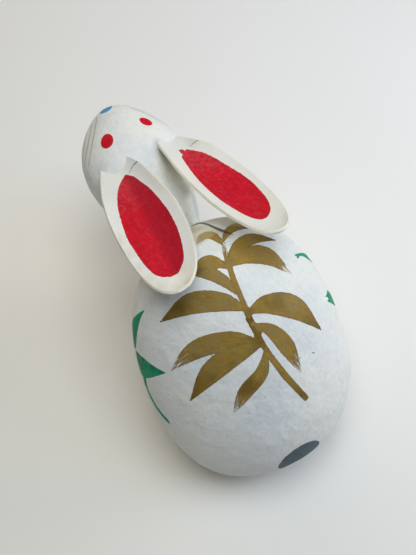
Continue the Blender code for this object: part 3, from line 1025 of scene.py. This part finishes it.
# Lengths are mm and angles degrees. The seat gives, for the inner edge, middle and outer edge,
# the share up to which the root is pulled onto the head, and the pull, which then fades over
# the seat's reach. Red holds shares of the ear, and how far across the leaf's two edges lie.
# The crack, dab, fold (an outline of painted shade) and smudges are pixels, and each smudge has a radius in
# mm. Papered is the share where the papered joint ends, at the same three places
EARS = {
    "ear_left": {
        "seat": (
            (-0.010, 0.5, -0.3, -1.5), (0.052, 0, -2.3, -3.4), (0.030, -2.7, -7.2, -10.4),
        ),
        "seat_reach": 0.25,
        "side": 1, "half_width": 21.8, "root": (20.5, -133.6, 77.5), "spread": 8.2, "lift": 14.3,
        "roll": -7, "twist": 0.9, "arch": -0.7, "bend": -1.5, "pressed": (-1.4, -2.4, -5.5),
        "tuck": 1.6, "red": (
            (0.092, -3.4, -2.6), (0.108, -4.6, -0.3), (0.135, -6.7, 2.9), (0.20, -9.2, 7.9),
            (0.30, -12.5, 12.1), (0.44, -14.3, 14.7), (0.56, -14.7, 15.7), (0.66, -14, 14.6),
            (0.75, -12, 12.9), (0.81, -9.8, 10.8), (0.85, -6.4, 7.5), (0.876, -3.2, 1.8),
        ),
        "crack": ((137.2, 161.4), (133, 165.8), (129.2, 172.8)), "dab": (), "shaded": 1,
        "fold": (
            ((127, 154), (140, 160), (156, 180), (172, 205), (184, 230), (190, 252),
             (186, 262), (180, 235), (166, 208), (150, 186), (138, 176),
             (128, 174), (123, 172)),
        ),
        "papered": (0.020, 0.068, 0.078),
        "smudges": (
            ((183, 268), 3), ((188, 284), 4), ((180, 290), 4), ((160, 287), 4),
            ((149, 279), 4), ((139, 268), 4), ((129, 254), 3.5), ((120, 240), 3),
        ),
    },
    "ear_right": {
        "seat": (
            (-0.004, -0.7, 0, -1.7), (0.012, -2.8, -1.9, -0.6), (0.048, -5.4, -11.3, -13.5),
        ),
        "seat_reach": 0.17,
        "side": -1, "half_width": 20.8, "root": (22.6, -133.8, 76.8), "spread": 3.9, "lift": 17.6,
        "roll": -14.9, "twist": 11.2, "arch": -6, "bend": 6.1, "pressed": (1.4, -2.4, -5.5),
        "tuck": 0.4, "red": (
            (0.112, 2.4, 3.8), (0.124, 0.6, 4.8), (0.146, -4.4, 6.8), (0.20, -6.3, 9.9),
            (0.30, -9, 13.2), (0.40, -11, 15.3), (0.52, -11.5, 16.2), (0.62, -10.2, 15.4),
            (0.71, -7.6, 13.6), (0.77, -5.3, 11), (0.81, -2.8, 7.4), (0.832, 0.2, 3.8),
        ),
        "crack": ((198.6, 139.4), (194.5, 142.5), (190, 146.4)), "shaded": 0, "fold": (),
        "dab": (((179, 150.4), (182, 149.6), (184.6, 151), (184, 153), (181.4, 153.2)),),
        "papered": (0.020, 0.070, 0.118),
        "smudges": (((192.5, 141), 4), ((287, 218), 1.5)),
    },
}
print("ears of card:", ", ".join(EARS))


# %% Cut and bend a sheet
def shape_ear(name, ear):
    """One ear's bare sheet: the rule filled in with its sizes, and kept as a plain mesh."""
    mirror = Vector((ear["side"], 1.0, 1.0))
    axis = direction(math.radians(ear["spread"]), math.radians(ear["lift"]))
    level = axis.cross(Vector((0.0, 0.0, 1.0))).normalized()
    ways = {
        "Root": BODY_CENTRE + Vector(ear["root"]) * mirror * MM, "Axis": axis * mirror,
        "Level": level * mirror, "Up": level.cross(axis) * mirror,
        "Pressed": Vector(ear["pressed"]) * mirror * MM,
    }
    sizes = {
        "Half Width": ear["half_width"] * MM, "Arch": ear["arch"] * MM, "Bend": ear["bend"] * MM,
        "Tuck": ear["tuck"] * MM, "Roll": math.radians(ear["roll"]),
        "Twist": math.radians(ear["twist"]), "Side": float(ear["side"]),
    }
    obj = in_scene("rabbit_" + name, bpy.data.meshes.new(name))
    rule = obj.modifiers.new("bent_leaf_of_card", "NODES")
    for key, value in {**SHARED_SIZES, **sizes, **ways}.items():
        rule[sockets[key]] = value
    rule.node_group = tree
    bake_modifiers(obj)
    return obj


ears = {name: shape_ear(name, ear) for name, ear in EARS.items()}
print("bent sheets:", *(obj.name for obj in ears.values()))

# %% Seat the sheet on the head, and mark its paint
PAINT_SPREAD = 0.3
LEAF_STEPS = 60
# The shade in the fold, in mm across the ear: where it starts, and over how much it deepens
SHADE_START = 2.0
SHADE_WIDTH = 5.0


def leaf_field(share, across, stations):
    """Distance in mm to the outline of a leaf given by its two edges at some shares of the ear."""
    edges = smooth_line(stations, LEAF_STEPS)
    along = edges[:, 0] * SHARED_SIZES["Length"] / MM
    outline = np.vstack([
        np.column_stack([along, edges[:, 1]]), np.column_stack([along, edges[:, 2]])[::-1],
    ])
    return outline_field(np.column_stack([share * SHARED_SIZES["Length"] / MM, across]), outline)


def stored(mesh, name):
    """The numbers that an attribute of a mesh holds."""
    values = np.empty(len(mesh.vertices), dtype=np.float32)
    mesh.attributes[name].data.foreach_get("value", values)
    return values.astype(float)


def through_three(places, side):
    """Rows that run smoothly through three, at the ear's inner edge, its middle and outer edge."""
    inner, middle, outer = (np.array(place) for place in places)
    side = side[:, None]
    return middle + (outer - inner) / 2 * side + ((outer + inner) / 2 - middle) * side ** 2


def seat_root(mesh, ear):
    """Press the root onto the head: in full up to the seat's share, and less beyond it."""
    seat = through_three(ear["seat"], stored(mesh, "ear_side"))
    started = (stored(mesh, "ear_share") - seat[:, 0]) / ear["seat_reach"]
    fade = np.clip(1.0 - started, 0.0, 1.0)[:, None] ** 2
    points = rows_of(mesh) + fade * seat[:, 1:] * (ear["side"] * MM, MM, MM)
    mesh.vertices.foreach_set("co", points.astype(np.float32).ravel())
    mesh.update()


def mark_ear(mesh, ear):
    """Store the ear's paint: its red leaf, painted shade in its fold, the papered joint at its root, and
    smudges.
    """
    share, side = stored(mesh, "ear_share"), stored(mesh, "ear_side")
    points, normals = rows_of(mesh), rows_of(mesh, "normal")
    leaf = leaf_field(share, stored(mesh, "ear_across") / MM, ear["red"])
    dab = outlines_field(points, normals, ear["dab"])
    store(mesh, "red_leaf", np.minimum(leaf, dab) - PAINT_SPREAD)
    # The fold outline is painted shade along the left ear's inner wall
    store(mesh, "fold", outlines_field(points, normals, ear["fold"]))
    shade = np.clip((SHADE_START - stored(mesh, "ear_across") / MM) / SHADE_WIDTH, 0.0, 1.0)
    store(mesh, "red_shade", shade * ear["shaded"])
    joint = through_three([(limit,) for limit in ear["papered"]], side)[:, 0]
    store(mesh, "papered", (share - joint) * SHARED_SIZES["Length"] / MM)
    pixels, span = seen_at(points)
    smudges = [np.linalg.norm(pixels - place, axis=1) * span - r for place, r in ear["smudges"]]
    store(mesh, "smudge", np.min(smudges, axis=0))


print("a fold's shade deepens over", SHADE_WIDTH, "mm")

# %% Give the card its thickness
EAR_THICKNESS = 1.8 * MM
EDGE_ROUNDING = 0.45 * MM
HAND_CUT_WAVE = 0.5 * MM
HAND_CUT_LENGTH = 16.0 * MM
ROUNDED_FROM = math.radians(60.0)
EAR_CRACK_WIDTHS = (0.9, 0.8, 0.3)


def finish_ear(obj, ear):
    """Seat the root, wave the cut edge, mark the paint, and give the card its thickness."""
    mesh = obj.data
    seat_root(mesh, ear)
    for vertex in mesh.vertices:
        vertex.co += vertex.normal * HAND_CUT_WAVE * noise.noise(vertex.co / HAND_CUT_LENGTH)
    ground = BVHTree.FromObject(obj, bpy.context.evaluated_depsgraph_get())
    line = trace(ground, ear["crack"])
    refine(mesh, [line], reach=2.5 * MM, cuts=2)
    mark_ear(mesh, ear)
    crack = stroke_field(rows_of(mesh), rows_of(mesh, "normal"), line, EAR_CRACK_WIDTHS)[0]
    store(mesh, "ear_crack", crack)
    mesh.materials.clear()
    for material in (hollow_material, back_material, edge_material):
        mesh.materials.append(material)
    card = obj.modifiers.new("card", "SOLIDIFY")
    card.thickness = EAR_THICKNESS
    card.offset = -1.0
    card.material_offset = 1
    card.material_offset_rim = 2
    rounding = obj.modifiers.new("worn_edge", "BEVEL")
    rounding.width = EDGE_ROUNDING
    rounding.segments = 2
    rounding.limit_method = "ANGLE"
    rounding.angle_limit = ROUNDED_FROM
    bake_modifiers(obj)
    obj.data.shade_smooth()
    print(obj.name, len(obj.data.polygons), "faces")


for name, ear in EARS.items():
    finish_ear(ears[name], ear)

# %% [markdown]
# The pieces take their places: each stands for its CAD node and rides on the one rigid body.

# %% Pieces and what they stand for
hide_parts("body_shell")
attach(shell, "root")
for name, obj in ears.items():
    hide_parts(name)
    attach(obj, "root")
print("pieces on the body:", shell.name, *(obj.name for obj in ears.values()))

# %% [markdown]
# A pale board and daylight. Soft square lights stand where the window, the sky, the ceiling and
# a white wall send light from, each in its own faint tint, as no daylight is one white. The
# board's colour carries painted light: whitest and coolest beside the window, darker and
# creamier away from it, in one slow change.

# %% The board that the rabbit stands on
FLOOR_SIZE = 6.0
# Painted light: the board is whiter and cooler by the window, darker and creamier away from it
BOARD_WINDOW_LIGHT = "f9fafd"
BOARD_LIGHT_FALLOFF = "ebe9e3"
# Which way on the board is away from the window, and how far along it each colour stands
AWAY_FROM_WINDOW = (0.94, 0.35, 0.0)
BOARD_SPAN = (-0.35, 0.20)
BOARD_FINISH = {"Roughness": 0.8, "Specular IOR Level": 0.2}

bm = bmesh.new()
bmesh.ops.create_grid(bm, x_segments=1, y_segments=1, size=FLOOR_SIZE / 2)
floor_mesh = bpy.data.meshes.new("table_top")
bm.to_mesh(floor_mesh)
bm.free()
floor = in_scene("table_top", floor_mesh)
floor_paint, floor_tree, floor_shader = new_material("pale_matt_board")
where = add(floor_tree, COORDINATES).outputs["Object"]
away = add(floor_tree, "ShaderNodeVectorMath", (where, AWAY_FROM_WINDOW), operation="DOT_PRODUCT")
board = add(floor_tree, RANGE, {"Value": away, "From Min": BOARD_SPAN[0], "From Max": BOARD_SPAN[1]})
tone = add(floor_tree, RAMP, (board,), ((0.0, BOARD_WINDOW_LIGHT), (1.0, BOARD_LIGHT_FALLOFF)))
floor_tree.links.new(tone.outputs[0], floor_shader.inputs["Base Color"])
for name, value in BOARD_FINISH.items():
    floor_shader.inputs[name].default_value = value
floor_mesh.materials.append(floor_paint)
print("a board of", FLOOR_SIZE, "m under the rabbit")

# %% The room and its lights
ROOM_COLOUR = "e2e8ee"
ROOM_STRENGTH = 0.02
# Each light: where it stands from the rabbit (degrees round and up), metres, size, watts, tint
LIGHTS = {
    "overhead": (0.0, 88.0, 1.2, 0.8, 9.4, "fafffe"),
    "low_window": (285.0, 12.0, 1.1, 0.55, 5.0, "fffcf1"),
    "side_window": (301.0, 50.0, 1.6, 0.8, 4.6, "b2ceff"),
    "sky": (181.0, 40.0, 2.0, 2.5, 11.3, "ffe5b8"),
    "white_wall": (121.0, 35.0, 2.0, 2.5, 1.8, "fff4e4"),
}

bpy.context.scene.view_settings.view_transform = "Standard"
world = bpy.data.worlds.new("pale_room")
world.use_nodes = True
world.node_tree.nodes["Background"].inputs["Color"].default_value = linear(ROOM_COLOUR)
world.node_tree.nodes["Background"].inputs["Strength"].default_value = ROOM_STRENGTH
bpy.context.scene.world = world

for name, (round_degrees, up_degrees, distance, size, watts, tint) in LIGHTS.items():
    way = direction(math.radians(round_degrees), math.radians(up_degrees))
    panel = bpy.data.lights.new(name, "AREA")
    panel.shape = "SQUARE"
    panel.size = size
    panel.energy = watts
    panel.color = linear(tint)[:3]
    lamp = in_scene(name, panel)
    lamp.location = BODY_CENTRE + way * distance
    lamp.rotation_euler = way.to_track_quat("Z", "Y").to_euler()
print(len(LIGHTS), "soft lights,", round(sum(light[4] for light in LIGHTS.values()), 1), "watts in all")
